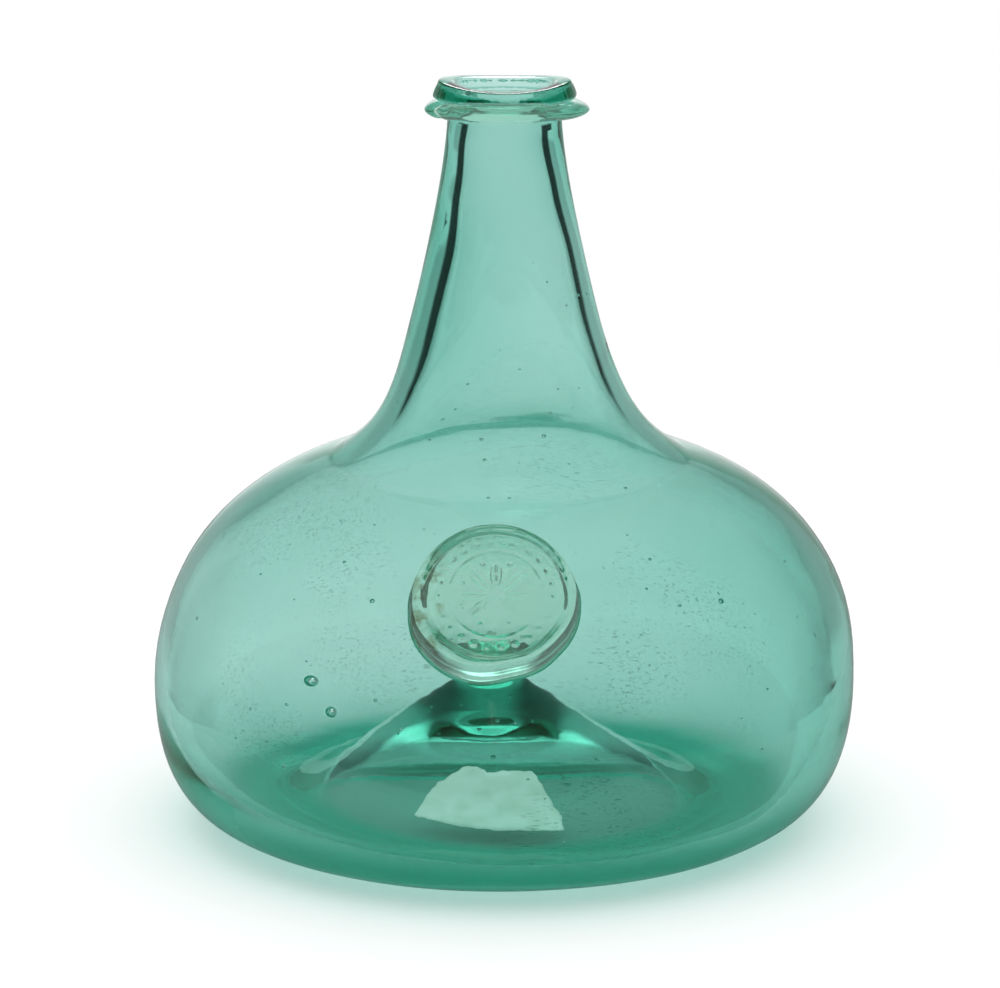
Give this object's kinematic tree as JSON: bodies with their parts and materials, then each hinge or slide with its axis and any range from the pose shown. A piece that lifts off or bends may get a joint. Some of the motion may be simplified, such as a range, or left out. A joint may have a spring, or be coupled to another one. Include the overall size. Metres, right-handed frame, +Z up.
{
  "type": "onion bottle",
  "caption": "Squat free-blown onion bottle in blue-green glass with a long tapering neck, a wound string rim, a pressed seal on the shoulder and a deep kick.",
  "frame": {"origin": "on the surface that the bottle stands on, under the bottle's axis", "axes": "+Z up along the axis, the seal faces -Y"},
  "size_m": [0.15, 0.1517, 0.1589],
  "materials": {
    "body_glass": "fire-polished, fine scratches",
    "string_glass": "fire-polished",
    "seal_glass": "die-pressed",
    "scar_glass": "rough, broken"
  },
  "bodies": {
    "root": {"glass_body": "body_glass", "string_rim": "string_glass", "seal": "seal_glass", "pontil_scar": "scar_glass"}
  },
  "joints": []
}
